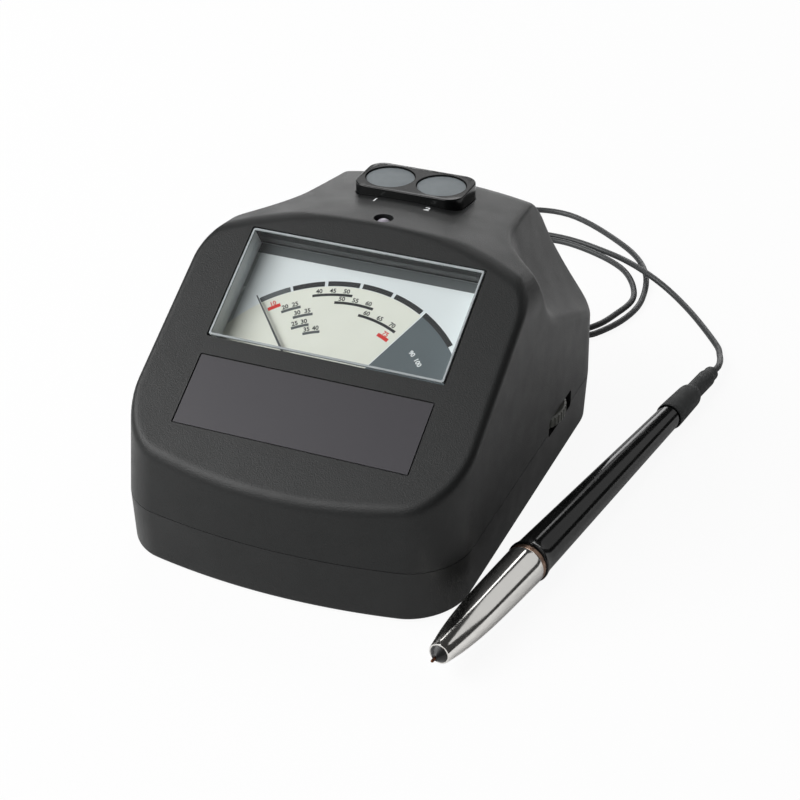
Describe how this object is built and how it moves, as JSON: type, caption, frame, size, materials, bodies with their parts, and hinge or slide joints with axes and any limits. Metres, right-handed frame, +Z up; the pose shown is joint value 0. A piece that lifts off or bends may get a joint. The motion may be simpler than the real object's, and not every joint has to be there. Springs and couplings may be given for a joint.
{
  "type": "gemstone tester",
  "caption": "Wedge-shaped counter-top gemstone tester with a sloped panel, dial meter, thumbwheel, disc holder and ready lamp, and a heated probe pen on a limp cord.",
  "frame": {"origin": "on the table under the middle of the housing, in the plane of its feet", "axes": "+X to the right seen from the front, +Y to the rear, +Z up"},
  "size_m": [0.1474, 0.2927, 0.0842],
  "materials": {
    "charcoal_plastic": "fine moulded grain",
    "plate_metal": "satin",
    "clear_plastic": "polished clear",
    "black_plastic": "plain moulded",
    "dial_paint": "matt paint",
    "iron": "machined",
    "brass": "satin",
    "copper": "bright copper",
    "steel": "zinc plated",
    "needle_paint": "matt paint",
    "gloss_black": "polished mould",
    "disc_metal": "satin turned",
    "lamp_lens": "milky lens",
    "board_green": "solder mask",
    "blue_plastic": "plain moulded",
    "cell_jacket": "plain jacket",
    "black_rubber": "matt",
    "cord_rubber": "smooth matt sheath",
    "nose_chrome": "bright plated",
    "ceramic": "unglazed"
  },
  "bodies": {
    "housing": {"upper_shell": "charcoal_plastic", "lower_base": "charcoal_plastic", "nameplate": "plate_metal", "meter_window": "clear_plastic", "meter_case": "black_plastic", "dial_plate": "dial_paint", "meter_yoke": "iron", "meter_core": "iron", "meter_bridge": "brass", "disc_holder": "gloss_black", "left_disc": "disc_metal", "right_disc": "disc_metal", "holder_screws": "steel", "ready_lamp": "lamp_lens", "main_board": "board_green", "board_chips": "black_plastic", "potentiometer": "blue_plastic", "battery_cells": "cell_jacket", "battery_contacts": "steel", "case_screws": "steel", "board_screws": "steel", "meter_screws": "steel", "rubber_feet": "black_rubber", "cord_gland": "black_rubber", "probe_cord": "cord_rubber"},
    "needle_body": {"needle": "needle_paint", "moving_coil": "copper", "needle_pivot": "steel"},
    "wheel": {"thumbwheel": "gloss_black"},
    "door": {"battery_door": "charcoal_plastic"},
    "probe": {"probe_nose": "nose_chrome", "tip_guide": "black_plastic", "tip_spring": "steel", "probe_spigot": "black_plastic", "probe_ring": "copper", "probe_barrel": "gloss_black", "probe_collar": "black_rubber", "probe_relief": "black_rubber"},
    "tip": {"probe_tip": "copper", "thermal_carrier": "ceramic"}
  },
  "joints": [
    {"name": "needle_swing", "type": "hinge", "parent": "housing", "child": "needle_body", "pos_m": [0, -0.04193, 0.04367], "axis": [0, 0.5329, -0.8462], "range_deg": [0, 87]},
    {"name": "thumbwheel_turn", "type": "hinge", "parent": "housing", "child": "wheel", "pos_m": [0.04, 0.0266, 0.0182], "axis": [0, 0, 1], "range_deg": [-150, 150]},
    {"name": "battery_door_slide", "type": "slide", "parent": "housing", "child": "door", "axis": [-1, 0, 0], "range_m": [0, 0.058]},
    {"name": "probe_lift", "type": "slide", "parent": "housing", "child": "probe", "axis": [0, 0, 1], "range_m": [0, 0.03], "deforming": ["probe_cord"]},
    {"name": "tip_press", "type": "slide", "parent": "probe", "child": "tip", "axis": [0.1495, 0.9885, -0.0213], "range_m": [0, 0.0012], "stiffness_N_per_m": 120, "deforming": ["tip_spring"]}
  ]
}
